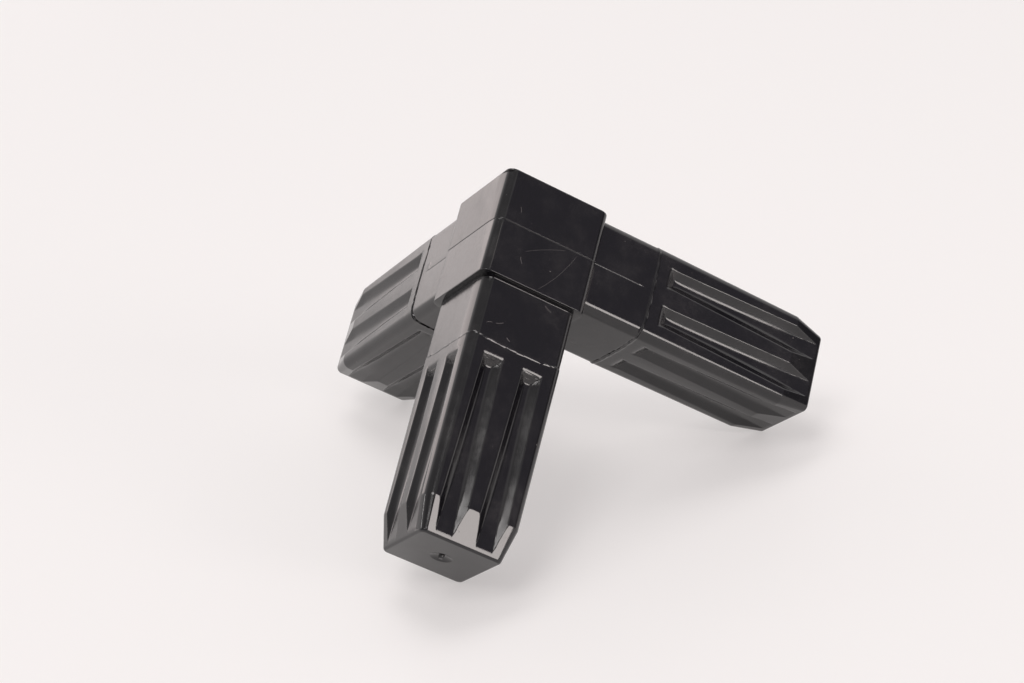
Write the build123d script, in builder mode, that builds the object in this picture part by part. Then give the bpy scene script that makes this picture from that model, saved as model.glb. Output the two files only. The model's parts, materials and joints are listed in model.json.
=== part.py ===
from build123d import *
import os

# Three way corner connector for square tube, moulded in one piece.
# Units are mm. It stands on its three arm tips, with +Z up and Z = 0 under the tips.
# The three arm centre lines meet on the Z axis, and each is square to the other two.

# arms
tube_wall = 1.25
tube_size = 25.0
neck_clearance = 0.1
plug_root_size = tube_size - 2 * tube_wall
plug_end_size = 22.0
tip_size = 18.8
neck_end = 26.8
lead_in_start = 63.6
tip_distance = 71.3
arm_azimuths = (-90.0, 30.0, 150.0)
arm_fall = 35.2643897

# corner radii of the square sections, and of the edges round each tip
neck_corner = 2.0
plug_corner = 2.05
plug_end_corner = 1.9
tip_corner = 1.1
tip_edge_round = 0.4

# body: its faces lie flush with the outside of the tubes
body_size = tube_size
body_drop = 0.5
body_corner = 1.6
body_top_round = 0.4

# flutes, two on each side of each arm
flute_pitch = 9.3
flute_start = 30.3
flute_ramp = 1.9
flute_start_width = 4.6
flute_end_width = 8.1
flute_floor_start_width = 1.7
flute_floor_end_width = 4.4
flute_depth = 1.5
flute_overrun = 2.0

# gate mark in the end of the first arm
gate_radius = 2.4
gate_floor_radius = 1.0
gate_depth = 0.7
gate_nub_radius = 0.55
gate_nub_height = 0.35


def arm_direction(azimuth):
    """Direction of an arm: level direction at this azimuth, turned down by the fall angle."""
    return Vector(1, 0, 0).rotate(Axis.Y, arm_fall).rotate(Axis.Z, azimuth)


directions = [arm_direction(azimuth) for azimuth in arm_azimuths]

# each arm's plane has its Z along the arm and its X along the next arm,
# so the sides of all three square sections line up
arm_planes = [
    Plane(origin=(0, 0, 0), x_dir=directions[(index + 1) % 3], z_dir=directions[index])
    for index in range(3)
]
down_arm = arm_planes[0]
flute_end = tip_distance + flute_overrun


def flute_outline(width_at_start, width_at_end, start):
    """Tapered outline of a flute, drawn with X along the arm and centred on the X axis."""
    Polygon(
        (start, -width_at_start / 2),
        (flute_end, -width_at_end / 2),
        (flute_end, width_at_end / 2),
        (start, width_at_start / 2),
        align=None,
    )


with BuildPart() as corner_connector:
    # body block, drawn square to the first arm and moved a little way down it
    with BuildSketch(down_arm.offset(body_drop - body_size / 2)):
        RectangleRounded(body_size, body_size, body_corner)
    extrude(amount=body_size)
    body_top_face = corner_connector.faces().sort_by(Axis((0, 0, 0), -down_arm.z_dir))[-1]
    fillet(body_top_face.edges(), radius=body_top_round)

    for arm in arm_planes:
        # plain neck next to the body, an easy fit inside the tube
        neck_size = plug_root_size - 2 * neck_clearance
        with BuildSketch(arm):
            RectangleRounded(neck_size, neck_size, neck_corner)
        extrude(amount=neck_end)

        # plug that grips the tube, with mould draft towards its end
        with BuildSketch(arm.offset(neck_end)):
            RectangleRounded(plug_root_size, plug_root_size, plug_corner)
        with BuildSketch(arm.offset(lead_in_start)):
            RectangleRounded(plug_end_size, plug_end_size, plug_end_corner)
        loft(ruled=True)

        # lead-in at the tip, so the arm starts easily into the tube
        with BuildSketch(arm.offset(lead_in_start)):
            RectangleRounded(plug_end_size, plug_end_size, plug_end_corner)
        with BuildSketch(arm.offset(tip_distance)):
            RectangleRounded(tip_size, tip_size, tip_corner)
        loft(ruled=True)
        tip_face = corner_connector.faces().sort_by(Axis((0, 0, 0), arm.z_dir))[-1]
        fillet(tip_face.edges(), radius=tip_edge_round)

        # flutes: open at the lead-in, closed by a ramp at the neck end, with sloping walls
        for side_normal in (arm.x_dir, arm.y_dir, -arm.x_dir, -arm.y_dir):
            side = Plane(origin=(0, 0, 0), x_dir=arm.z_dir, z_dir=side_normal)
            for flute_offset in (-flute_pitch / 2, flute_pitch / 2):
                flute_line = side.shift_origin(side.from_local_coords(Vector(0, flute_offset, 0)))
                with BuildSketch(flute_line.offset(plug_root_size / 2)):
                    flute_outline(flute_start_width, flute_end_width, flute_start)
                with BuildSketch(flute_line.offset(plug_root_size / 2 - flute_depth)):
                    flute_outline(
                        flute_floor_start_width,
                        flute_floor_end_width,
                        flute_start + flute_ramp,
                    )
                loft(ruled=True, mode=Mode.SUBTRACT)

    # gate mark: a shallow dish with the stub of the gate at its centre
    gate_section = Plane(origin=(0, 0, 0), x_dir=down_arm.z_dir, z_dir=down_arm.x_dir)
    gate_floor = tip_distance - gate_depth
    with BuildSketch(gate_section):
        with BuildLine():
            Polyline(
                (tip_distance + 1, 0),
                (tip_distance + 1, gate_radius),
                (tip_distance, gate_radius),
                (gate_floor, gate_floor_radius),
                (gate_floor, gate_nub_radius),
                (gate_floor + gate_nub_height, gate_nub_radius),
                (gate_floor + gate_nub_height, 0),
                close=True,
            )
        make_face()
    revolve(axis=Axis((0, 0, 0), down_arm.z_dir), mode=Mode.SUBTRACT)

# stand the connector on its three tips
stand_height = -corner_connector.part.bounding_box().min.Z
corner_connector.part = Pos(0, 0, stand_height) * corner_connector.part
corner_connector.part.label = "corner_connector"

os.makedirs("parts", exist_ok=True)
export_step(corner_connector.part, "parts/corner_connector.step")
print("centre of the arms above the floor:", stand_height)
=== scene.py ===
"""Three way corner connector: the look of the moulded part, its floor, its lights and its camera."""

import json
import logging
import math
from dataclasses import dataclass, field
from enum import Enum
from functools import cached_property

import bmesh
import bpy
from mathutils import Euler, Matrix, Vector, noise


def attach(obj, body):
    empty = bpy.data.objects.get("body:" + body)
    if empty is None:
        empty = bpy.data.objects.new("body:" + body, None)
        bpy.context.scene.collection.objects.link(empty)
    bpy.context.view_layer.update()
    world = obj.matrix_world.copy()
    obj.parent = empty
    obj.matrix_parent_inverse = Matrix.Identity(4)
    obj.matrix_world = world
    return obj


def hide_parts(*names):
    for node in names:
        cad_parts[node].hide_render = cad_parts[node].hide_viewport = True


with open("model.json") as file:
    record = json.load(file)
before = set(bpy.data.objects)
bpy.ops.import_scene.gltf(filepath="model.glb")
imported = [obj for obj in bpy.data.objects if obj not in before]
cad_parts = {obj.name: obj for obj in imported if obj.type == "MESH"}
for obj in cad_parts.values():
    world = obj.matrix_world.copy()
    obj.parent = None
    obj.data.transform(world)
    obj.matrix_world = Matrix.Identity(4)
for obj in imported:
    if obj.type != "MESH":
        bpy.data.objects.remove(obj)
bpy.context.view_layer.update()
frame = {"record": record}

LOG = logging.getLogger("corner_connector")
# one millimetre in metres, and the distance in mm within which two places are one
MM = 0.001
TOUCH = 1e-4


class ArmPlace(Enum):
    """The arms, each with the name of the mount at its tip."""

    FRONT = "front_plug"
    RIGHT = "right_plug"
    LEFT = "left_plug"

    def direction(self) -> Vector:
        """Give the unit vector from the middle of the body to this arm's tip."""
        return Vector(mount(self.value)["axis"]).normalized()

    def following(self) -> "ArmPlace":
        """Give the arm that comes next, counter-clockwise from above."""
        order = list(ArmPlace)
        return order[(order.index(self) + 1) % len(order)]

    def axes(self) -> Matrix:
        """Give the turn from this arm's own axes, with X along the arm, to the part's axes.

        Returns:
            The turn.
        """
        along = self.direction()
        first = self.following().direction()
        return Matrix((along, first, along.cross(first))).transposed()

    def frame(self) -> Matrix:
        """Give the turn and the shift, in mm, from this arm's own axes to the part's."""
        return Matrix.Translation(centre_of_arms()) @ self.axes().to_4x4()


def mount(name: str) -> dict:
    """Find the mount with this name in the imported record."""
    return next(entry for entry in frame["record"]["mounts"] if entry["name"] == name)


def centre_of_arms() -> Vector:
    """Find the point where the three arms' centre lines meet.

    Returns:
        The point, in mm.
    """
    tip = Vector(mount(ArmPlace.FRONT.value)["pos_m"])
    along = ArmPlace.FRONT.direction()
    reach = tip.xy.length / along.xy.length
    return (tip - along * reach) / MM


def on_part(distances: tuple[float, float, float]) -> Vector:
    """Find a place on the part from the point where the arms' centre lines meet.

    Args:
        distances: How far it lies away from the right, left and front arms, in mm.

    Returns:
        The place, in metres.
    """
    place = centre_of_arms()
    for arm, distance in zip((ArmPlace.RIGHT, ArmPlace.LEFT, ArmPlace.FRONT), distances):
        place -= arm.direction() * distance
    return place * MM


def smooth_min(first: float, second: float, blend: float) -> float:
    """Give the lower of two heights, rounded off where they differ by less than the blend."""
    share = max(blend - abs(first - second), 0.0) / blend
    return min(first, second) - share * share * blend / 4.0


def mix(first: float, second: float, share: float) -> float:
    """Give the value that lies this share of the way from the first to the second."""
    return first + (second - first) * share


def clamped(share: float) -> float:
    """Keep a share between 0 and 1."""
    return min(max(share, 0.0), 1.0)


def bell(value: float, middle: float, width: float) -> float:
    """Give a bump that is 1 at the middle value and fades out over the width."""
    return math.exp(-(((value - middle) / width) ** 2))


def slide(value: float, old: list[float], new: list[float]) -> float:
    """Carry a value along with marks that are moved.

    Args:
        value: The value.
        old: The marks' old places, in rising order.
        new: The marks' new places.

    Returns:
        The value's new place, in proportion between its two neighbours.
    """
    for index in range(1, len(old)):
        if value <= old[index] or index == len(old) - 1:
            gap = old[index] - old[index - 1]
            share = (value - old[index - 1]) / gap if gap > 0.0 else 0.0
            return mix(new[index - 1], new[index], share)
    return value


def outward_of(point: Vector, reach: float) -> Vector:
    """Find the way in which a square bar's surface faces, with its corners rounded.

    Args:
        point: A point of the surface, in axes with X along the bar.
        reach: Distance from the middle of a side to where the corner's round starts.

    Returns:
        The unit vector square to the surface.
    """
    inner = [min(max(value, -reach), reach) for value in point.yz]
    return (point - Vector((point.x, *inner))).normalized()


def cut(block: bmesh.types.BMesh, axis: int, place: float) -> None:
    """Cut new edges into a mesh along a plane that is square to one of its axes.

    Args:
        block: The mesh.
        axis: Number of the axis, from 0 to 2.
        place: Where the plane crosses that axis.
    """
    point, normal = Vector(), Vector()
    point[axis], normal[axis] = place, 1.0
    geometry = block.verts[:] + block.edges[:] + block.faces[:]
    bmesh.ops.bisect_plane(block, geom=geometry, dist=TOUCH, plane_co=point, plane_no=normal)


def round_edges(block: bmesh.types.BMesh, edges: list[bmesh.types.BMEdge], radius: float,
                segments: int) -> None:
    """Round some edges of a mesh to this radius, in this number of steps."""
    bmesh.ops.bevel(
        block, geom=edges, offset=radius, offset_type="OFFSET", segments=segments, profile=0.5,
        affect="EDGES", material=-1, clamp_overlap=False,
    )


def long_edges(block: bmesh.types.BMesh) -> list[bmesh.types.BMEdge]:
    """Find the edges of a plain bar that run along X."""
    return [edge for edge in block.edges if abs(edge.verts[0].co.x - edge.verts[1].co.x) > 1.0]


def end_edges(block: bmesh.types.BMesh, side: float, end: float) -> list[bmesh.types.BMEdge]:
    """Find the edges at a bar's end, which lies this far out along X, or -X if side is -1."""
    rim = {vert for vert in block.verts if vert.co.x * side > end - TOUCH}
    return [edge for edge in block.edges if rim.issuperset(edge.verts)]


def add_object(name: str, data: bpy.types.ID) -> bpy.types.Object:
    """Add an object to the scene.

    Args:
        name: The object's name.
        data: Its mesh, lamp or camera.

    Returns:
        The object.
    """
    made = bpy.data.objects.new(name, data)
    bpy.context.scene.collection.objects.link(made)
    return made


def make_object(name: str, block: bmesh.types.BMesh, place: Matrix) -> bpy.types.Object:
    """Turn a mesh in mm into an object in metres, with its faces outward.

    Args:
        name: The object's name.
        block: The mesh, in its own axes.
        place: The turn and the shift, in mm, from these axes to the part's.

    Returns:
        The object, linked to the scene.
    """
    bmesh.ops.transform(block, matrix=place, verts=block.verts)
    bmesh.ops.scale(block, vec=(MM, MM, MM), verts=block.verts)
    bmesh.ops.recalc_face_normals(block, faces=block.faces)
    mesh = bpy.data.meshes.new(name)
    block.to_mesh(mesh)
    block.free()
    return add_object(name, mesh)


@dataclass(frozen=True)
class Wear:
    """Wear of the edge between the left and right sides, where the left side falls away.

    Sizes in mm.
    """

    width: float
    depth: float

    def fall(self, point: Vector, outward: Vector, reach: float) -> float:
        """Give the depth by which the left side falls away.

        Args:
            point: A point of the surface, in the front arm's own axes.
            outward: The way the surface faces there.
            reach: Distance from the middle of the side to where the edge's round starts.

        Returns:
            The depth.
        """
        strip = max(point.z - reach + self.width, 0.0) / self.width
        return self.depth * strip * strip * max(-outward.y, 0.0)


@dataclass(frozen=True)
class Streaks:
    """Rough streaks that the mould left across a flute's start ramp. Sizes in mm.

    The broad and the fine streaks each have their waves to the mm along and across, and a seed.
    """

    height: float = 0.14
    middle: float = 0.7
    width: float = 1.0
    end: float = 3.0
    fine_share: float = 0.6
    broad: tuple[float, float, float] = (4.5, 0.7, 2.0)
    fine: tuple[float, float, float] = (5.0, 3.6, 7.0)

    def fall(self, start: float, along: float, across: float) -> float:
        """Give the depth that the streaks add.

        Args:
            start: Where the flute starts.
            along: Distance from the middle of the body.
            across: Distance from the middle of the side.

        Returns:
            The depth, which is negative where a streak stands up.
        """
        if along >= start + self.end:
            return 0.0
        broad, fine = (
            noise.noise(Vector((along * lengthwise, across * sideways, seed)))
            for lengthwise, sideways, seed in (self.broad, self.fine)
        )
        streaks = broad + self.fine_share * fine
        return self.height * streaks * bell(along, start + self.middle, self.width)


@dataclass(frozen=True)
class Flute:
    """Sizes of one flute, in mm, and the height of its surface."""

    pitch: float = 9.3
    start: float = 30.3
    ramp_length: float = 1.9
    end: float = 73.3
    start_width: float = 4.6
    end_width: float = 8.1
    floor_start_half: float = 0.88
    floor_gain: float = 1.4
    floor_power: float = 2.2
    depth: float = 1.5
    end_depth: float = 1.61
    exit_start: float = 60.0
    exit_length: float = 5.0
    margin: float = 0.6
    rim_blend: float = 0.18
    lead_in_blend: float = 0.05
    corner_blend: float = 0.3
    foot_blend: float = 0.8
    exit_blend: float = 0.15
    ramp_blend: float = 0.6
    streaks: Streaks = Streaks()

    def mouth_half(self, along: float) -> float:
        """Give half the flute's width where its walls reach the plug's full height."""
        share = (along - self.start) / (self.end - self.start)
        return mix(self.start_width, self.end_width, share) / 2.0

    def floor_half(self, along: float) -> float:
        """Give half the width of the flute's floor, which spreads faster towards the tip.

        Args:
            along: Distance from the middle of the body.

        Returns:
            Half the width.
        """
        start = self.start + self.ramp_length
        share = max(along - start, 0.0) / (self.end - start)
        return self.floor_start_half + self.floor_gain * share ** self.floor_power

    def slope(self, along: float) -> float:
        """Give the slope of the flute's walls."""
        return self.depth / (self.mouth_half(along) - self.floor_half(along))

    def fall(self, along: float, across: float) -> float:
        """Give the depth of the flute's surface below the plug's full height.

        Args:
            along: Distance from the middle of the body.
            across: Distance from the middle of the side.

        Returns:
            The depth, which is negative outside the flute.
        """
        offset = abs(abs(across) - self.pitch / 2.0)
        wall = (self.mouth_half(along) - offset) * self.slope(along)
        end_ramp = (along - self.start) * self.depth / self.ramp_length
        end_ramp += self.streaks.fall(self.start, along, across)
        depth = smooth_min(wall, end_ramp, self.corner_blend)
        past_ramp = clamped(along - self.start - self.ramp_length)
        near_exit = clamped((along - self.exit_start) / self.exit_length)
        foot = mix(self.corner_blend, mix(self.foot_blend, self.exit_blend, near_exit), past_ramp)
        return smooth_min(depth, mix(self.depth, self.end_depth, near_exit), foot)


@dataclass(frozen=True)
class Flash:
    """The rough line where the mould parts of the neck and the plug meet. Sizes in mm.

    It stands up as a lip all round, and opens as a crack on the sides that face the crack's
    way, which is given in the part's axes. Waves are counted to the mm.
    """

    offset: float = 0.2
    bow: float = 0.75
    bow_half: float = 10.5
    waver: tuple[tuple[float, float], ...] = ((0.2, 0.5), (0.14, 1.6))
    reach: float = 2.0
    lip: float = 0.07
    lip_least: float = 0.1
    lip_waves: float = 0.9
    lip_width: float = 0.15
    lip_offset: float = 0.2
    crack: float = 0.4
    crack_mean: float = 0.7
    crack_swing: float = 0.8
    crack_waves: float = 0.6
    crack_width: float = 0.18
    crack_offset: float = -0.12
    crack_way: tuple[float, float, float] = (0.0, 0.0, 0.0)

    def rise(self, place: ArmPlace, point: Vector, along: float, across: float) -> float:
        """Give the height that the line adds to an arm's surface.

        Args:
            place: The arm.
            point: The point, in the arm's own axes.
            along: Distance from the neck's end, along the arm.
            across: Distance from the middle of the side.

        Returns:
            The height.
        """
        if abs(along) > self.reach:
            return 0.0
        seed = Vector((point.y, point.z, 10.0 * list(ArmPlace).index(place)))
        middle = self.offset - self.bow * min(abs(across) / self.bow_half, 1.0) ** 4
        middle += sum(height * noise.noise(seed * scale) for height, scale in self.waver)
        swing = noise.noise(seed * self.lip_waves + Vector((5.0, 0.0, 0.0)))
        lip = self.lip * max(1.0 + swing, self.lip_least)
        way = place.axes().inverted() @ Vector(self.crack_way).normalized()
        crack = self.crack * clamped(Vector((0.0, point.y, point.z)).normalized().dot(way) * 2.0)
        swing = noise.noise(seed * self.crack_waves + Vector((0.0, 9.0, 0.0)))
        crack *= self.crack_mean + self.crack_swing * swing
        lip *= bell(along, middle + self.lip_offset, self.lip_width)
        return lip - crack * bell(along, middle + self.crack_offset, self.crack_width)


@dataclass(frozen=True)
class Cuts:
    """Where an arm's mesh is cut, closely at its creases. Sizes in mm.

    A series is a first distance, a step and a count.
    """

    plain: tuple[float, ...] = (12.0, 12.7, 15.0, 18.0, 22.0, 28.4, 29.3, 33.2, 34.0, 36.0, 39.0)
    plug: tuple[float, float, int] = (42.0, 3.0, 7)
    at_seam: tuple[float, float, int] = (-0.14, 0.07, 5)
    at_tick: tuple[float, float, int] = (-0.2, 0.1, 5)
    at_neck_end: tuple[float, float, int] = (-1.3, 0.11, 21)
    at_flute_start: tuple[float, float, int] = (-0.4, 0.14, 20)
    at_lead_in: tuple[float, ...] = (-1.0, -0.3, -0.12, 0.0, 0.12, 0.3, 1.0)
    tip: tuple[float, ...] = (65.6, 66.8, 68.0, 68.8, 70.2, 70.6)
    at_exit: tuple[float, float, int] = (69.3, 0.08, 8)
    from_middle: tuple[float, ...] = (0.07, 0.14, 0.25, 1.5)
    from_corner: tuple[float, ...] = (0.6, 1.2, 1.9)
    at_rim: tuple[float, ...] = (-0.4, -0.2, -0.06, 0.06, 0.2, 0.42)
    at_foot: tuple[float, ...] = (-0.6, -0.35, -0.12, 0.12, 0.4)
    gap: float = 0.12
    ramp_foot: float = 0.5


def series(first: float, step: float, count: int, middle: float = 0.0) -> list[float]:
    """Give this many even steps from the first value on, moved by the middle."""
    return [middle + first + step * index for index in range(count)]


@dataclass
class Arm:
    """One arm of the connector: plain neck, fluted plug, lead-in and end face. Sizes in mm."""

    place: ArmPlace
    root: float = 9.0
    neck_half: float = 11.15
    plug_half: float = 11.25
    plug_end_half: float = 11.0
    tip_half: float = 9.4
    neck_end: float = 26.8
    lead_in: float = 63.6
    tip: float = 71.3
    neck_corner: float = 2.15
    plug_corner: float = 2.2
    plug_end_corner: float = 2.0
    tip_corner: float = 1.3
    tip_edge: float = 0.5
    seam: float = 13.45
    tick: float = 23.6
    lead_in_crease: float = 0.03
    corner_steps: int = 10
    tip_steps: int = 6
    tip_border: float = 0.1
    crown: float = 0.06
    crown_length: float = 3.0
    crease_reach: float = 0.4
    seam_height: float = 0.03
    seam_width: float = 0.08
    line_depth: float = 0.07
    line_width: float = 0.1
    line_gap: float = 1.4
    tick_height: float = 0.05
    tick_width: float = 0.12
    tick_span: tuple[float, float] = (0.3, 1.6)
    flute: Flute = Flute()
    flash: Flash = Flash()
    wear: Wear = Wear(3.4, 0.26)
    cuts: Cuts = Cuts()

    def half(self, along: float) -> float:
        """Give half the width of the arm across its flats, without flutes.

        Args:
            along: Distance from the middle of the body.

        Returns:
            Half the width.
        """
        if along <= self.neck_end:
            return self.neck_half
        draft = (self.plug_half - self.plug_end_half) / (self.lead_in - self.neck_end)
        plug = self.plug_half - draft * (along - self.neck_end)
        fall = (self.plug_end_half - self.tip_half) / (self.tip - self.lead_in)
        lead = self.plug_end_half - fall * (along - self.lead_in)
        return smooth_min(plug, lead, self.lead_in_crease)

    def corner(self, along: float) -> float:
        """Give the radius of the arm's corners.

        Args:
            along: Distance from the middle of the body.

        Returns:
            The radius.
        """
        if along <= self.neck_end:
            return self.neck_corner
        if along <= self.lead_in:
            share = (along - self.neck_end) / (self.lead_in - self.neck_end)
            return mix(self.plug_corner, self.plug_end_corner, share)
        share = (along - self.lead_in) / (self.tip - self.lead_in)
        return mix(self.plug_end_corner, self.tip_corner, share)

    def stations(self) -> list[float]:
        """Give the distances along the arm at which it is cut across.

        Returns:
            The distances.
        """
        cuts = self.cuts
        marks = [*cuts.plain, *cuts.tip]
        marks += series(*cuts.plug)
        marks += series(*cuts.at_exit)
        marks += series(*cuts.at_seam, middle=self.seam)
        marks += series(*cuts.at_tick, middle=self.tick)
        marks += series(*cuts.at_neck_end, middle=self.neck_end)
        marks += series(*cuts.at_flute_start, middle=self.flute.start)
        marks += [self.lead_in + offset for offset in cuts.at_lead_in]
        return sorted(marks)

    def across_marks(self, along: float) -> list[float]:
        """Give places across a side that stay on the creases of its flutes.

        Args:
            along: Distance from the middle of the body.

        Returns:
            The places, from one corner's round to the other's.
        """
        flute, cuts = self.flute, self.cuts
        reach = self.half(along) - self.corner(along)
        inside = min(max(along, flute.start), self.tip)
        crest = min(self.half(inside), self.plug_half)
        rim = flute.mouth_half(inside) - (self.plug_half - crest) / flute.slope(inside)
        foot = flute.floor_half(inside)
        on_ramp = clamped((inside - flute.start) / flute.ramp_length)
        foot = mix(rim - cuts.ramp_foot, foot, on_ramp)
        foot = min(foot, rim - cuts.gap)
        marks = [0.0]
        for side in (-1.0, 1.0):
            middle = side * flute.pitch / 2.0
            marks.append(middle)
            marks += [side * step for step in cuts.from_middle]
            marks += [side * (reach - step) for step in cuts.from_corner]
            for sign in (-1.0, 1.0):
                marks += [middle + sign * (rim + step) for step in cuts.at_rim]
                marks += [middle + sign * (foot + step) for step in cuts.at_foot]
        marks.sort()
        edge = reach - cuts.gap
        marks = [min(max(mark, -edge), edge) for mark in marks]
        return [-reach, -edge] + marks + [edge, reach]

    def make_block(self) -> bmesh.types.BMesh:
        """Make the plain bar that the arm is shaped from, cut where its creases will be.

        Returns:
            The bar's mesh, in the arm's axes.
        """
        block = bmesh.new()
        bmesh.ops.create_cube(block, size=1.0)
        length, width = self.tip - self.root, 2.0 * self.plug_half
        bmesh.ops.scale(block, vec=(length, width, width), verts=block.verts)
        bmesh.ops.translate(block, vec=((self.tip + self.root) / 2.0, 0.0, 0.0), verts=block.verts)
        round_edges(block, long_edges(block), self.plug_corner, self.corner_steps)
        for station in self.stations():
            cut(block, 0, station)
        for axis in (1, 2):
            for mark in self.bar_marks()[1:-1]:
                cut(block, axis, mark)
        for end in (self.root, self.tip):
            cap = [face for face in block.faces if abs(face.calc_center_median().x - end) < TOUCH]
            bmesh.ops.dissolve_faces(block, faces=cap)
        return block

    def bar_marks(self) -> list[float]:
        """Give the places of the cuts across the plain bar.

        Returns:
            The places, from one corner's round to the other's.
        """
        marks = self.across_marks((self.neck_end + self.lead_in) / 2.0)
        wide = (self.plug_half - self.plug_corner) / marks[-1]
        return [mark * wide for mark in marks]

    def fit_sections(self, block: bmesh.types.BMesh) -> None:
        """Give the bar its neck, draft and lead-in, with the corners' radii along them.

        Args:
            block: The bar's mesh.
        """
        old = self.bar_marks()
        for vert in block.verts:
            along = vert.co.x
            radius = self.corner(along)
            reach = self.half(along) - radius
            new = self.across_marks(along)
            for axis in (1, 2):
                value = vert.co[axis]
                if abs(value) <= old[-1] + TOUCH:
                    vert.co[axis] = slide(value, old, new)
                else:
                    beyond = (abs(value) - old[-1]) * radius / self.plug_corner
                    vert.co[axis] = math.copysign(reach + beyond, value)

    def round_tip(self, block: bmesh.types.BMesh) -> None:
        """Round the edges of the end face, and keep the face flat inside a narrow border.

        Args:
            block: The arm's mesh.
        """
        round_edges(block, end_edges(block, 1.0, self.tip), self.tip_edge, self.tip_steps)
        end = max(block.faces, key=lambda face: face.calc_center_median().x)
        bmesh.ops.inset_region(block, faces=[end], thickness=self.tip_border)

    def parting_line(self, point: Vector) -> float:
        """Give the height of the parting line on the neck.

        On a side arm it runs level with the arm's centre line, with a tick across it.

        Args:
            point: The point, in the arm's own axes.

        Returns:
            The height added to the surface.
        """
        if self.place is ArmPlace.FRONT:
            return self.seam_height * bell(point.x, self.seam, self.seam_width)
        if point.x > self.neck_end - self.line_gap:
            return 0.0
        upward = -point.z if self.place is ArmPlace.RIGHT else -point.y
        height = -self.line_depth * bell(upward, 0.0, self.line_width)
        if self.tick_span[0] < upward < self.tick_span[1]:
            height += self.tick_height * bell(point.x, self.tick, self.tick_width)
        return height

    def flute_rise(self, along: float, across: float) -> float:
        """Give the height that the flutes and the slight crown between them add to a side.

        Args:
            along: Distance from the middle of the body.
            across: Distance from the middle of the side.

        Returns:
            The height, which is negative in a flute.
        """
        flute = self.flute
        half = self.half(along)
        past_crease = along - self.lead_in + self.crease_reach
        on_lead_in = clamped(past_crease / (2.0 * self.crease_reach))
        crown = self.crown * (math.cos(math.tau * across / flute.pitch) - 1.0)
        crown *= clamped((along - flute.start) / self.crown_length) * (1.0 - on_lead_in)
        floor = self.plug_half - flute.fall(along, across)
        near_ramp = bell(along, flute.start, 1.0)
        blend = mix(flute.rim_blend, flute.ramp_blend, near_ramp)
        blend = mix(blend, flute.lead_in_blend, on_lead_in)
        return smooth_min(half + crown, floor, blend) - half

    def press_flutes(self, block: bmesh.types.BMesh) -> None:
        """Press the flutes, the fine lines and the wear into the four sides.

        Args:
            block: The arm's mesh.
        """
        for vert in block.verts:
            along = vert.co.x
            if along < self.root + 1.0:
                continue
            half = self.half(along)
            reach = half - self.corner(along)
            outward = outward_of(vert.co, reach)
            if along > self.tip - self.tip_edge - 1e-3:
                vert.co += outward * (half - self.tip_half)
                continue
            across = min(vert.co.yz, key=abs)
            rise = self.flash.rise(self.place, vert.co, along - self.neck_end, across)
            rise += self.parting_line(vert.co)
            if self.place is ArmPlace.FRONT:
                rise -= self.wear.fall(vert.co, outward, reach)
            if abs(across) < reach - 1e-3 and along > self.flute.start - self.flute.margin:
                rise += self.flute_rise(along, across)
            vert.co += outward * rise

    def build(self) -> bpy.types.Object:
        """Build the arm where it stands on the part.

        Returns:
            The arm.
        """
        block = self.make_block()
        self.fit_sections(block)
        self.round_tip(block)
        self.press_flutes(block)
        return make_object(f"{self.place.name.lower()}_arm", block, self.place.frame())


@dataclass
class Body:
    """The square body that the three arms meet in, split by a fine parting line. Sizes in mm."""

    size: float = 25.0
    drop: float = 0.5
    corner: float = 2.0
    top_edge: float = 0.45
    bottom_edge: float = 0.15
    line_level: float = 0.4
    line_width: float = 0.1
    line_depth: float = 0.12
    corner_steps: int = 12
    edge_steps: int = 5
    crease_gap: float = 0.12
    worn_cuts: tuple[float, ...] = (0.0, 0.5, 1.0, 1.6, 2.3, 3.1)
    wear: Wear = Wear(3.2, 0.3)

    def build(self) -> bpy.types.Object:
        """Build the body.

        Returns:
            The body.
        """
        block = bmesh.new()
        bmesh.ops.create_cube(block, size=self.size)
        round_edges(block, long_edges(block), self.corner, self.corner_steps)
        end = self.size / 2.0
        for side, radius in ((-1.0, self.top_edge), (1.0, self.bottom_edge)):
            round_edges(block, end_edges(block, side, end), radius, self.edge_steps)
        flat = end - self.corner - self.crease_gap
        for axis in (1, 2):
            cut(block, axis, -flat)
            for inset in self.worn_cuts:
                cut(block, axis, flat - inset)
        cut(block, 0, -end + self.top_edge + self.crease_gap)
        cut(block, 0, end - self.bottom_edge - self.crease_gap)
        self.wear_edge(block)
        self.cut_parting_line(block)
        drop = Matrix.Translation((self.drop, 0.0, 0.0))
        return make_object("body", block, ArmPlace.FRONT.frame() @ drop)

    def wear_edge(self, block: bmesh.types.BMesh) -> None:
        """Let the left side fall away towards its worn edge with the right side.

        Args:
            block: The body's mesh.
        """
        reach = self.size / 2.0 - self.corner
        for vert in block.verts:
            if abs(vert.co.x) <= self.size / 2.0 - self.top_edge:
                outward = outward_of(vert.co, reach)
                vert.co -= outward * self.wear.fall(vert.co, outward, reach)

    def cut_parting_line(self, block: bmesh.types.BMesh) -> None:
        """Cut the fine parting groove round the body, level with the side arms' centres.

        Args:
            block: The body's mesh.
        """
        level = self.line_level - self.drop
        for step in range(-5, 6):
            cut(block, 0, level + step * self.line_width / 2.0)
        for vert in block.verts:
            depth = self.line_depth * bell(vert.co.x, level, self.line_width)
            shrink = 1.0 - depth / (self.size / 2.0)
            vert.co.y *= shrink
            vert.co.z *= shrink


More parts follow.
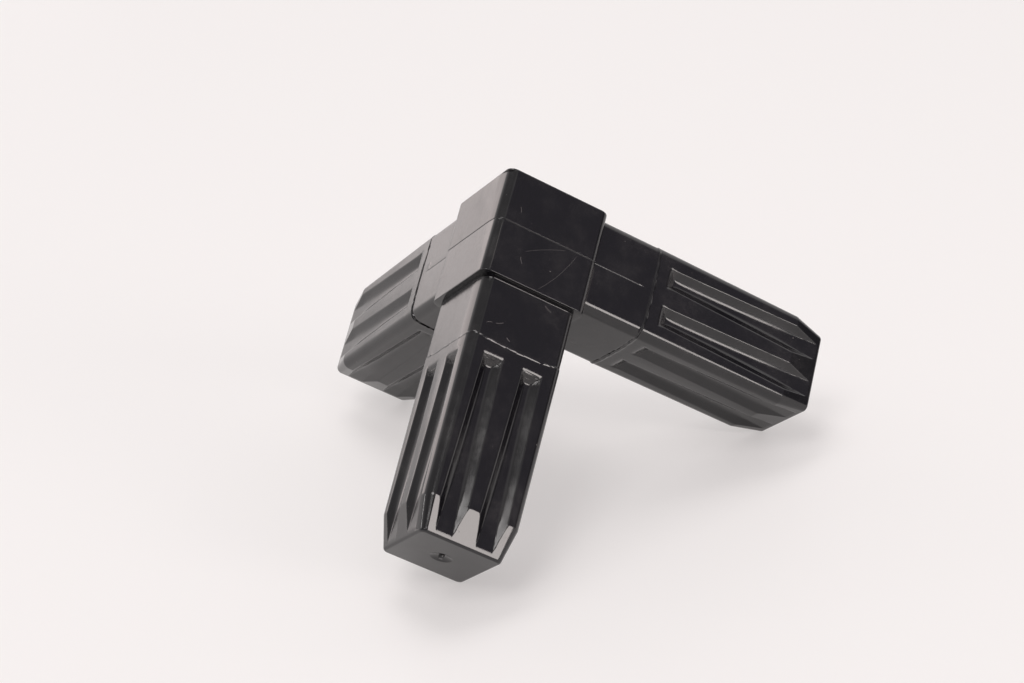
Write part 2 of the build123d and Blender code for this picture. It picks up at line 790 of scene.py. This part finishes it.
@dataclass
class GateMark:
    """The dish and the broken stub left where the plastic ran into the mould. Sizes in mm."""

    radius: float = 2.4
    depth: float = 0.5
    stub_width: float = 1.25
    stub_height: float = 0.75
    stub_foot: float = 0.4
    stub_taper: float = 0.4
    stub_round: float = 0.1
    stub_steps: int = 3
    ball_splits: int = 6

    def dish(self, end: Matrix) -> bpy.types.Object:
        """Make the ball that cuts the dish.

        Args:
            end: The arm's frame, moved to the middle of its end.

        Returns:
            The cutter.
        """
        ball = (self.radius ** 2 + self.depth ** 2) / (2.0 * self.depth)
        block = bmesh.new()
        bmesh.ops.create_icosphere(block, subdivisions=self.ball_splits, radius=ball)
        return make_object("gate_dish", block, end @ Matrix.Translation((ball - self.depth, 0.0, 0.0)))

    def stub(self, end: Matrix) -> bpy.types.Object:
        """Make the stub of the gate, a square peg that narrows outward.

        Args:
            end: The arm's frame, moved to the middle of its end.

        Returns:
            The stub.
        """
        height = self.stub_height + self.stub_foot
        block = bmesh.new()
        bmesh.ops.create_cube(block, size=1.0)
        for vert in block.verts:
            width = self.stub_width * (1.0 - self.stub_taper * (vert.co.x + 0.5))
            vert.co = Vector((vert.co.x * height, vert.co.y * width, vert.co.z * width))
        round_edges(block, block.edges[:], self.stub_round, self.stub_steps)
        middle = height / 2.0 - self.depth - self.stub_foot
        return make_object("gate_stub", block, end @ Matrix.Translation((middle, 0.0, 0.0)))


class Wiring:
    """Adds nodes to a node tree, each from a few plain words."""

    def __init__(self, tree: bpy.types.NodeTree) -> None:
        """Start wiring this node tree."""
        self.tree = tree

    @cached_property
    def place(self) -> bpy.types.NodeSocket:
        """Give the place on the piece."""
        return self.node("TexCoord").outputs["Object"]

    def node(self, kind: str, inputs: dict[str | int, object] | None = None,
             **settings: object) -> bpy.types.Node:
        """Add a node.

        Args:
            kind: The node's type, without its leading word.
            inputs: Values or output sockets for the node's inputs.
            settings: The node's own settings.

        Returns:
            The node.
        """
        made = self.tree.nodes.new(f"ShaderNode{kind}")
        for name, value in settings.items():
            setattr(made, name, value)
        for name, value in (inputs or {}).items():
            if isinstance(value, bpy.types.NodeSocket):
                self.tree.links.new(value, made.inputs[name])
            else:
                made.inputs[name].default_value = value
        return made

    def math(self, operation: str, *values: object) -> bpy.types.NodeSocket:
        """Work out a number from one, two or three values or sockets."""
        return self.node("Math", dict(enumerate(values)), operation=operation).outputs[0]

    def ramp(self, value: bpy.types.NodeSocket, start: float, end: float, low: float = 0.0,
             high: float = 1.0) -> bpy.types.NodeSocket:
        """Turn a value into one that goes softly from low to high as it goes from start to end."""
        inputs = {"Value": value, "From Min": start, "From Max": end, "To Min": low, "To Max": high}
        return self.node("MapRange", inputs, interpolation_type="SMOOTHSTEP").outputs["Result"]

    def clouds(self, scale: float, detail: float = 3.0,
               roughness: float = 0.6) -> bpy.types.NodeSocket:
        """Give soft random clouds, with this many of them to the metre."""
        inputs = {"Vector": self.place, "Scale": scale, "Detail": detail, "Roughness": roughness}
        return self.node("TexNoise", inputs).outputs["Fac"]

    def distance(self, point: Vector) -> bpy.types.NodeSocket:
        """Give the distance from a point."""
        made = self.node("VectorMath", {0: self.place, 1: point}, operation="DISTANCE")
        return made.outputs["Value"]


def start_material(name: str) -> tuple[bpy.types.Material, Wiring, bpy.types.Node]:
    """Start a material.

    Args:
        name: The material's name.

    Returns:
        The material, the wiring for its nodes, and its shader.
    """
    material = bpy.data.materials.new(name)
    material.use_nodes = True
    return material, Wiring(material.node_tree), material.node_tree.nodes["Principled BSDF"]


@dataclass(frozen=True)
class Scratch:
    """A fine curved scratch on one side of the body or an arm. Sizes in mm.

    The points are distances away from the right, left and front arms.
    """

    start: tuple[float, float, float]
    middle: tuple[float, float, float]
    end: tuple[float, float, float]
    width: float = 0.06
    strength: float = 0.5
    core: float = 0.3
    fade_start: float = 0.8

    def mask(self, wiring: Wiring) -> bpy.types.NodeSocket:
        """Build the scratch's mask: a ring on a ball, kept only between the two ends.

        Args:
            wiring: The material's nodes.

        Returns:
            The mask.
        """
        first, second, third = (on_part(point) for point in (self.start, self.middle, self.end))
        across, along = second - first, third - first
        normal = across.cross(along)
        bend = across.length_squared * along.cross(normal) + along.length_squared * normal.cross(across)
        ball = first + bend / (2.0 * normal.length_squared)
        radius = (first - ball).length
        off = wiring.math("ABSOLUTE", wiring.math("SUBTRACT", wiring.distance(ball), radius))
        line = wiring.ramp(off, self.width * MM, self.core * self.width * MM, 0.0, self.strength)
        reach = max((first - second).length, (third - second).length)
        near = wiring.ramp(wiring.distance(second), reach, reach * self.fade_start)
        return wiring.math("MULTIPLY", line, near)


@dataclass(frozen=True)
class BlackNylon:
    """Gloss black moulded nylon with smudges, fine scratches and light dust."""

    base: tuple[float, float, float] = (0.0046, 0.0041, 0.0056)
    dust: tuple[float, float, float] = (0.16, 0.145, 0.14)
    ior: float = 1.6
    roughness: float = 0.13
    smudge_haze: float = 0.07
    smudge_roughness: float = 0.11
    mark_haze: float = 0.75
    mark_roughness: float = 0.3
    mark_relief: float = -0.12
    ramp_haze: float = 0.14
    sink_scale: float = 90.0
    grain_scale: float = 1400.0
    grain_share: float = 0.02
    relief: float = 0.35
    relief_depth: float = 0.0002
    scratches: tuple[Scratch, ...] = (
        # two long arcs and a short stroke on the body's right side
        Scratch((4.6, 12.5, -5.6), (0.0, 12.5, -3.0), (-4.8, 12.5, -1.0)),
        Scratch((-7.0, 12.5, -2.0), (-4.5, 12.5, -7.0), (-0.3, 12.5, -12.6), 0.07),
        Scratch((5.0, 12.5, -7.0), (4.8, 12.5, -7.8), (4.3, 12.5, -8.4), 0.09, 0.8),
        # strokes, a nick and a blotch on the front arm's neck
        Scratch((8.1, 11.2, -23.7), (7.5, 11.2, -23.35), (6.8, 11.2, -23.2), 0.1, 0.7),
        Scratch((6.0, 11.2, -23.0), (5.2, 11.2, -22.75), (4.4, 11.2, -22.2), 0.1, 0.7),
        Scratch((2.9, 11.2, -25.0), (2.5, 11.2, -25.4), (2.0, 11.2, -25.6), 0.13, 0.8),
        Scratch((-3.6, 11.2, -14.4), (-4.5, 11.2, -15.0), (-5.4, 11.2, -15.3), 0.3, 0.3),
        # a nick high on the body's right side, and its edge, which is dull from handling
        Scratch((7.9, 12.5, 3.9), (7.6, 12.5, 3.3), (7.5, 12.5, 2.6), 0.14, 0.5),
        Scratch((-12.1, 12.5, -0.6), (-12.05, 12.5, -6.5), (-12.1, 12.5, -12.4), 0.8, 0.28),
        # the ring of an ejector pin under the right arm's neck, and a line down the body
        Scratch((-14.5, -0.3, -11.2), (-23.5, -0.3, -11.2), (-14.57, 0.48, -11.2), 0.1, 0.35),
        Scratch((11.0, 12.5, -0.8), (10.95, 12.5, -7.0), (11.0, 12.5, -13.0), 0.07, 0.35),
    )

    def smudges(self, wiring: Wiring) -> bpy.types.NodeSocket:
        """Build the mask of the cloudy smudges that handling leaves, from 0 to 1.

        Args:
            wiring: The material's nodes.

        Returns:
            The mask.
        """
        broad = wiring.ramp(wiring.clouds(110.0, 5.0, 0.65), 0.4, 0.72)
        fine = wiring.ramp(wiring.clouds(900.0, 3.0, 0.7), 0.3, 0.75, 0.5, 1.2)
        return wiring.math("MULTIPLY", broad, fine)

    def specks(self, wiring: Wiring) -> bpy.types.NodeSocket:
        """Build the mask of the specks of dust.

        Args:
            wiring: The material's nodes.

        Returns:
            The mask.
        """
        cells = wiring.node("TexVoronoi", {"Vector": wiring.place, "Scale": 480.0})
        spot = wiring.ramp(cells.outputs["Distance"], 0.1, 0.04)
        kept = wiring.node("SeparateColor", {0: cells.outputs["Color"]}).outputs["Red"]
        large = wiring.math("MULTIPLY", spot, wiring.ramp(kept, 0.88, 0.97))
        grains = wiring.ramp(wiring.clouds(2600.0, 2.0), 0.69, 0.78, 0.0, 0.55)
        patches = wiring.ramp(wiring.clouds(260.0, 3.0), 0.48, 0.62)
        return wiring.math("MAXIMUM", large, wiring.math("MULTIPLY", grains, patches))

    def ramps(self, wiring: Wiring) -> bpy.types.NodeSocket:
        """Build the mask of the flutes' start ramps, which the mould left rough.

        Args:
            wiring: The material's nodes.

        Returns:
            The mask.
        """
        flute = Flute()
        start, end = flute.start, flute.start + flute.ramp_length
        centre = centre_of_arms() * MM
        offset = wiring.node("VectorMath", {0: wiring.place, 1: centre}, operation="SUBTRACT")
        reaches = []
        for arm in ArmPlace:
            inputs = {0: offset.outputs[0], 1: arm.direction() / MM}
            dot = wiring.node("VectorMath", inputs, operation="DOT_PRODUCT")
            reaches.append(dot.outputs["Value"])
        mask = 0.0
        for along in reaches:
            others = [wiring.math("ABSOLUTE", reach) for reach in reaches if reach is not along]
            deep = wiring.ramp(wiring.math("MAXIMUM", *others), 11.22, 10.9)
            off_corner = wiring.ramp(wiring.math("MINIMUM", *others), 8.0, 7.0)
            deep = wiring.math("MULTIPLY", deep, off_corner)
            past_start = wiring.ramp(along, start - 0.3, start + 0.4)
            before_end = wiring.ramp(along, end + 0.2, end - 0.6)
            here = wiring.math("MULTIPLY", deep, wiring.math("MULTIPLY", past_start, before_end))
            mask = wiring.math("MAXIMUM", mask, here)
        return wiring.math("MULTIPLY", mask, wiring.ramp(wiring.clouds(2800.0), 0.3, 0.7))

    def material(self) -> bpy.types.Material:
        """Build the material.

        Returns:
            The material.
        """
        material, wiring, shader = start_material("black_nylon")
        shader.inputs["IOR"].default_value = self.ior
        smudges = self.smudges(wiring)
        marks = self.specks(wiring)
        for scratch in self.scratches:
            marks = wiring.math("MAXIMUM", marks, scratch.mask(wiring))
        ramps = self.ramps(wiring)
        haze = wiring.math("MULTIPLY", marks, self.mark_haze)
        haze = wiring.math("MULTIPLY_ADD", smudges, self.smudge_haze, haze)
        haze = wiring.math("MULTIPLY_ADD", ramps, self.ramp_haze, haze)
        color = wiring.node(
            "Mix", {0: haze, 6: (*self.base, 1.0), 7: (*self.dust, 1.0)}, data_type="RGBA",
        )
        links = material.node_tree.links
        links.new(color.outputs[2], shader.inputs["Base Color"])
        rubbed = wiring.math("MAXIMUM", marks, ramps)
        rough = wiring.math("MULTIPLY_ADD", smudges, self.smudge_roughness, self.roughness)
        rough = wiring.math("MULTIPLY_ADD", rubbed, self.mark_roughness, rough)
        links.new(rough, shader.inputs["Roughness"])
        sink = wiring.clouds(self.sink_scale, 2.0)
        grain = wiring.clouds(self.grain_scale, 3.0)
        height = wiring.math("MULTIPLY_ADD", grain, self.grain_share, sink)
        height = wiring.math("MULTIPLY_ADD", rubbed, self.mark_relief, height)
        inputs = {"Strength": self.relief, "Distance": self.relief_depth, "Height": height}
        bump = wiring.node("Bump", inputs)
        links.new(bump.outputs["Normal"], shader.inputs["Normal"])
        return material


@dataclass(frozen=True)
class WhiteSheet:
    """White sheet under the part, which seems to glow a little, as on a light table."""

    color: tuple[float, float, float] = (0.88, 0.862, 0.857)
    glow: tuple[float, float, float] = (0.95, 0.905, 0.895)
    glow_share: float = 0.42
    roughness: float = 0.45

    def material(self) -> bpy.types.Material:
        """Build the material.

        Returns:
            The material.
        """
        material, wiring, shader = start_material("white_sheet")
        shader.inputs["Base Color"].default_value = (*self.color, 1.0)
        shader.inputs["Roughness"].default_value = self.roughness
        glow = wiring.node("Emission", {"Color": (*self.glow, 1.0)})
        path = wiring.node("LightPath").outputs
        looked_at = wiring.math("MAXIMUM", path["Is Camera Ray"], path["Is Glossy Ray"])
        looked_at = wiring.math("MAXIMUM", looked_at, path["Is Transmission Ray"])
        share = wiring.math("MULTIPLY", looked_at, self.glow_share)
        blend = wiring.node("MixShader", {0: share, 1: shader.outputs[0], 2: glow.outputs[0]})
        output = material.node_tree.nodes["Material Output"]
        material.node_tree.links.new(blend.outputs[0], output.inputs["Surface"])
        return material


def unit_vector(azimuth: float, elevation: float) -> Vector:
    """Give the unit vector in a direction.

    Args:
        azimuth: Angle from +X towards +Y, in degrees.
        elevation: Angle above the floor, in degrees.

    Returns:
        The vector.
    """
    turn, lift = math.radians(azimuth), math.radians(elevation)
    level = math.cos(lift)
    return Vector((level * math.cos(turn), level * math.sin(turn), math.sin(lift)))


@dataclass(frozen=True)
class Glow:
    """A soft patch of the room round the part. Angles in degrees."""

    azimuth: float
    elevation: float
    inner: float
    outer: float
    brightness: float
    color: tuple[float, float, float] = (1.0, 0.97, 0.965)


@dataclass(frozen=True)
class Panel:
    """A soft lamp that faces the part. Angles in degrees, sizes in metres."""

    name: str
    azimuth: float
    elevation: float
    distance: float
    width: float
    height: float
    brightness: float
    color: tuple[float, float, float] = (1.0, 0.97, 0.96)
    aim_height: float = 0.04

    def add(self) -> None:
        """Add the lamp to the scene."""
        lamp = bpy.data.lights.new(self.name, "AREA")
        lamp.shape = "RECTANGLE"
        lamp.size, lamp.size_y = self.width, self.height
        lamp.color = self.color
        lamp.energy = self.brightness * math.pi * self.width * self.height
        rig = add_object(self.name, lamp)
        way = unit_vector(self.azimuth, self.elevation)
        rig.location = Vector((0.0, 0.0, self.aim_height)) + way * self.distance
        rig.rotation_euler = way.to_track_quat("Z", "Y").to_euler()


@dataclass
class Studio:
    """Floor, lamps, room and camera. The camera's place is in mm and its turn in degrees."""

    camera_place: tuple[float, float, float] = (192.25, -467.21, 271.43)
    camera_turn: tuple[float, float, float] = (64.494, 5.278, 20.28)
    lens: float = 89.91
    sensor: float = 36.0
    floor_half: float = 3.0
    seen: tuple[float, float, float] = (0.91, 0.875, 0.865)
    room: float = 0.9
    glows: tuple[Glow, ...] = (
        Glow(-160.0, 72.0, 22.0, 52.0, 0.4),
        Glow(-90.0, 25.0, 35.0, 65.0, 0.35),
        Glow(30.0, 3.0, 15.0, 28.0, 0.13, (0.97, 0.93, 1.0)),
        Glow(149.0, 0.0, 3.0, 24.0, 2.35, (1.0, 0.9, 0.88)),
        Glow(10.0, 38.0, 14.0, 32.0, 0.27, (0.96, 0.9, 1.02)),
    )
    panels: tuple[Panel, ...] = (
        Panel("key_panel", -17.0, 18.0, 1.2, 0.38, 0.34, 7.1, (1.0, 0.92, 0.89)),
        Panel("back_panel", 125.0, 67.0, 1.8, 0.8, 0.8, 4.0),
        Panel("front_panel", -95.0, 60.0, 1.8, 0.7, 0.7, 5.5),
        Panel("left_panel", 147.0, -1.6, 0.6, 0.4, 0.045, 0.8, (1.0, 0.9, 0.88)),
        Panel("corner_panel", -165.0, 18.0, 1.5, 0.1, 0.1, 14.0),
    )

    def add_floor(self) -> None:
        """Add the floor under the tips."""
        sheet = bmesh.new()
        bmesh.ops.create_grid(sheet, x_segments=1, y_segments=1, size=self.floor_half / MM)
        floor = make_object("floor", sheet, Matrix.Identity(4))
        floor.data.materials.append(WhiteSheet().material())

    def set_room(self) -> None:
        """Make the room round the part, and what the camera sees behind it plain white."""
        world = bpy.data.worlds.new("room")
        bpy.context.scene.world = world
        world.use_nodes = True
        world.node_tree.nodes.clear()
        wiring = Wiring(world.node_tree)
        way = wiring.node("TexCoord").outputs["Generated"]
        light = wiring.node("RGB").outputs[0]
        light.default_value = [self.room * part for part in Glow.color] + [1.0]
        for glow in self.glows:
            middle = unit_vector(glow.azimuth, glow.elevation)
            facing = wiring.node("VectorMath", {0: way, 1: middle}, operation="DOT_PRODUCT")
            edges = [math.cos(math.radians(angle)) for angle in (glow.outer, glow.inner)]
            share = wiring.ramp(facing.outputs["Value"], *edges)
            color = [glow.brightness * part for part in glow.color] + [1.0]
            light = wiring.node("Mix", {0: share, 6: light, 7: color}, data_type="RGBA").outputs[2]
        room = wiring.node("Background", {"Color": light})
        seen = wiring.node("Background", {"Color": (*self.seen, 1.0)})
        path = wiring.node("LightPath").outputs
        inputs = {0: path["Is Camera Ray"], 1: room.outputs[0], 2: seen.outputs[0]}
        wiring.node("OutputWorld", {"Surface": wiring.node("MixShader", inputs).outputs[0]})

    def add_camera(self) -> None:
        """Add the camera."""
        camera = bpy.data.cameras.new("camera")
        camera.lens = self.lens
        camera.sensor_width = self.sensor
        rig = add_object("camera", camera)
        rig.location = Vector(self.camera_place) * MM
        rig.rotation_euler = Euler([math.radians(angle) for angle in self.camera_turn], "XYZ")
        bpy.context.scene.camera = rig

    def build(self) -> None:
        """Build the whole studio."""
        self.add_camera()
        self.add_floor()
        self.set_room()
        for panel in self.panels:
            panel.add()
        bpy.context.scene.view_settings.view_transform = "Standard"


class Joint(Enum):
    """The ways in which one mesh meets another, each with its boolean operation."""

    ADDED = "UNION"
    CUT_OUT = "DIFFERENCE"


@dataclass
class Connector:
    """The whole moulding. The angle from which its edges are sharp is in degrees."""

    body: Body = field(default_factory=Body)
    arms: tuple[Arm, ...] = (
        Arm(ArmPlace.FRONT),
        Arm(ArmPlace.RIGHT, flash=Flash(lip=0.13, lip_width=0.2, crack_way=(0.0, 0.0, -1.0))),
        Arm(ArmPlace.LEFT, flash=Flash(crack_way=(-1.0, -0.6, -0.9))),
    )
    gate: GateMark = field(default_factory=GateMark)
    sharp_angle: float = 19.0

    def merge(self, base: bpy.types.Object, parts: list[tuple[bpy.types.Object, Joint]]) -> None:
        """Join parts to the base, or cut them out of it, and remove them from the scene.

        Args:
            base: The object that stays.
            parts: Each part, with how it meets the base.
        """
        for part, joint in parts:
            step = base.modifiers.new(part.name, "BOOLEAN")
            step.operation = joint.value
            step.solver = "EXACT"
            step.object = part
        view = bpy.context.evaluated_depsgraph_get()
        merged = bpy.data.meshes.new_from_object(base.evaluated_get(view))
        base.modifiers.clear()
        base.data = merged
        for part, _ in parts:
            bpy.data.objects.remove(part)

    def build(self) -> bpy.types.Object:
        """Build the moulding as one piece.

        Returns:
            The piece.
        """
        piece = self.body.build()
        parts = [(arm.build(), Joint.ADDED) for arm in self.arms]
        front = self.arms[0]
        end = front.place.frame() @ Matrix.Translation((front.tip, 0.0, 0.0))
        parts.append((self.gate.dish(end), Joint.CUT_OUT))
        parts.append((self.gate.stub(end), Joint.ADDED))
        self.merge(piece, parts)
        piece.name = "connector_moulding"
        piece.data.name = "connector_moulding"
        piece.data.shade_smooth()
        piece.data.set_sharp_from_angle(angle=math.radians(self.sharp_angle))
        piece.data.materials.append(BlackNylon().material())
        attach(piece, "root")
        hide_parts("corner_connector")
        return piece


def main() -> None:
    """Build the studio and the connector."""
    logging.basicConfig(level=logging.INFO)
    studio = Studio()
    studio.build()
    LOG.info("studio has %d lamps", len(studio.panels))
    moulding = Connector().build()
    LOG.info("%s has %d faces", moulding.name, len(moulding.data.polygons))


if __name__ == "__main__":
    main()
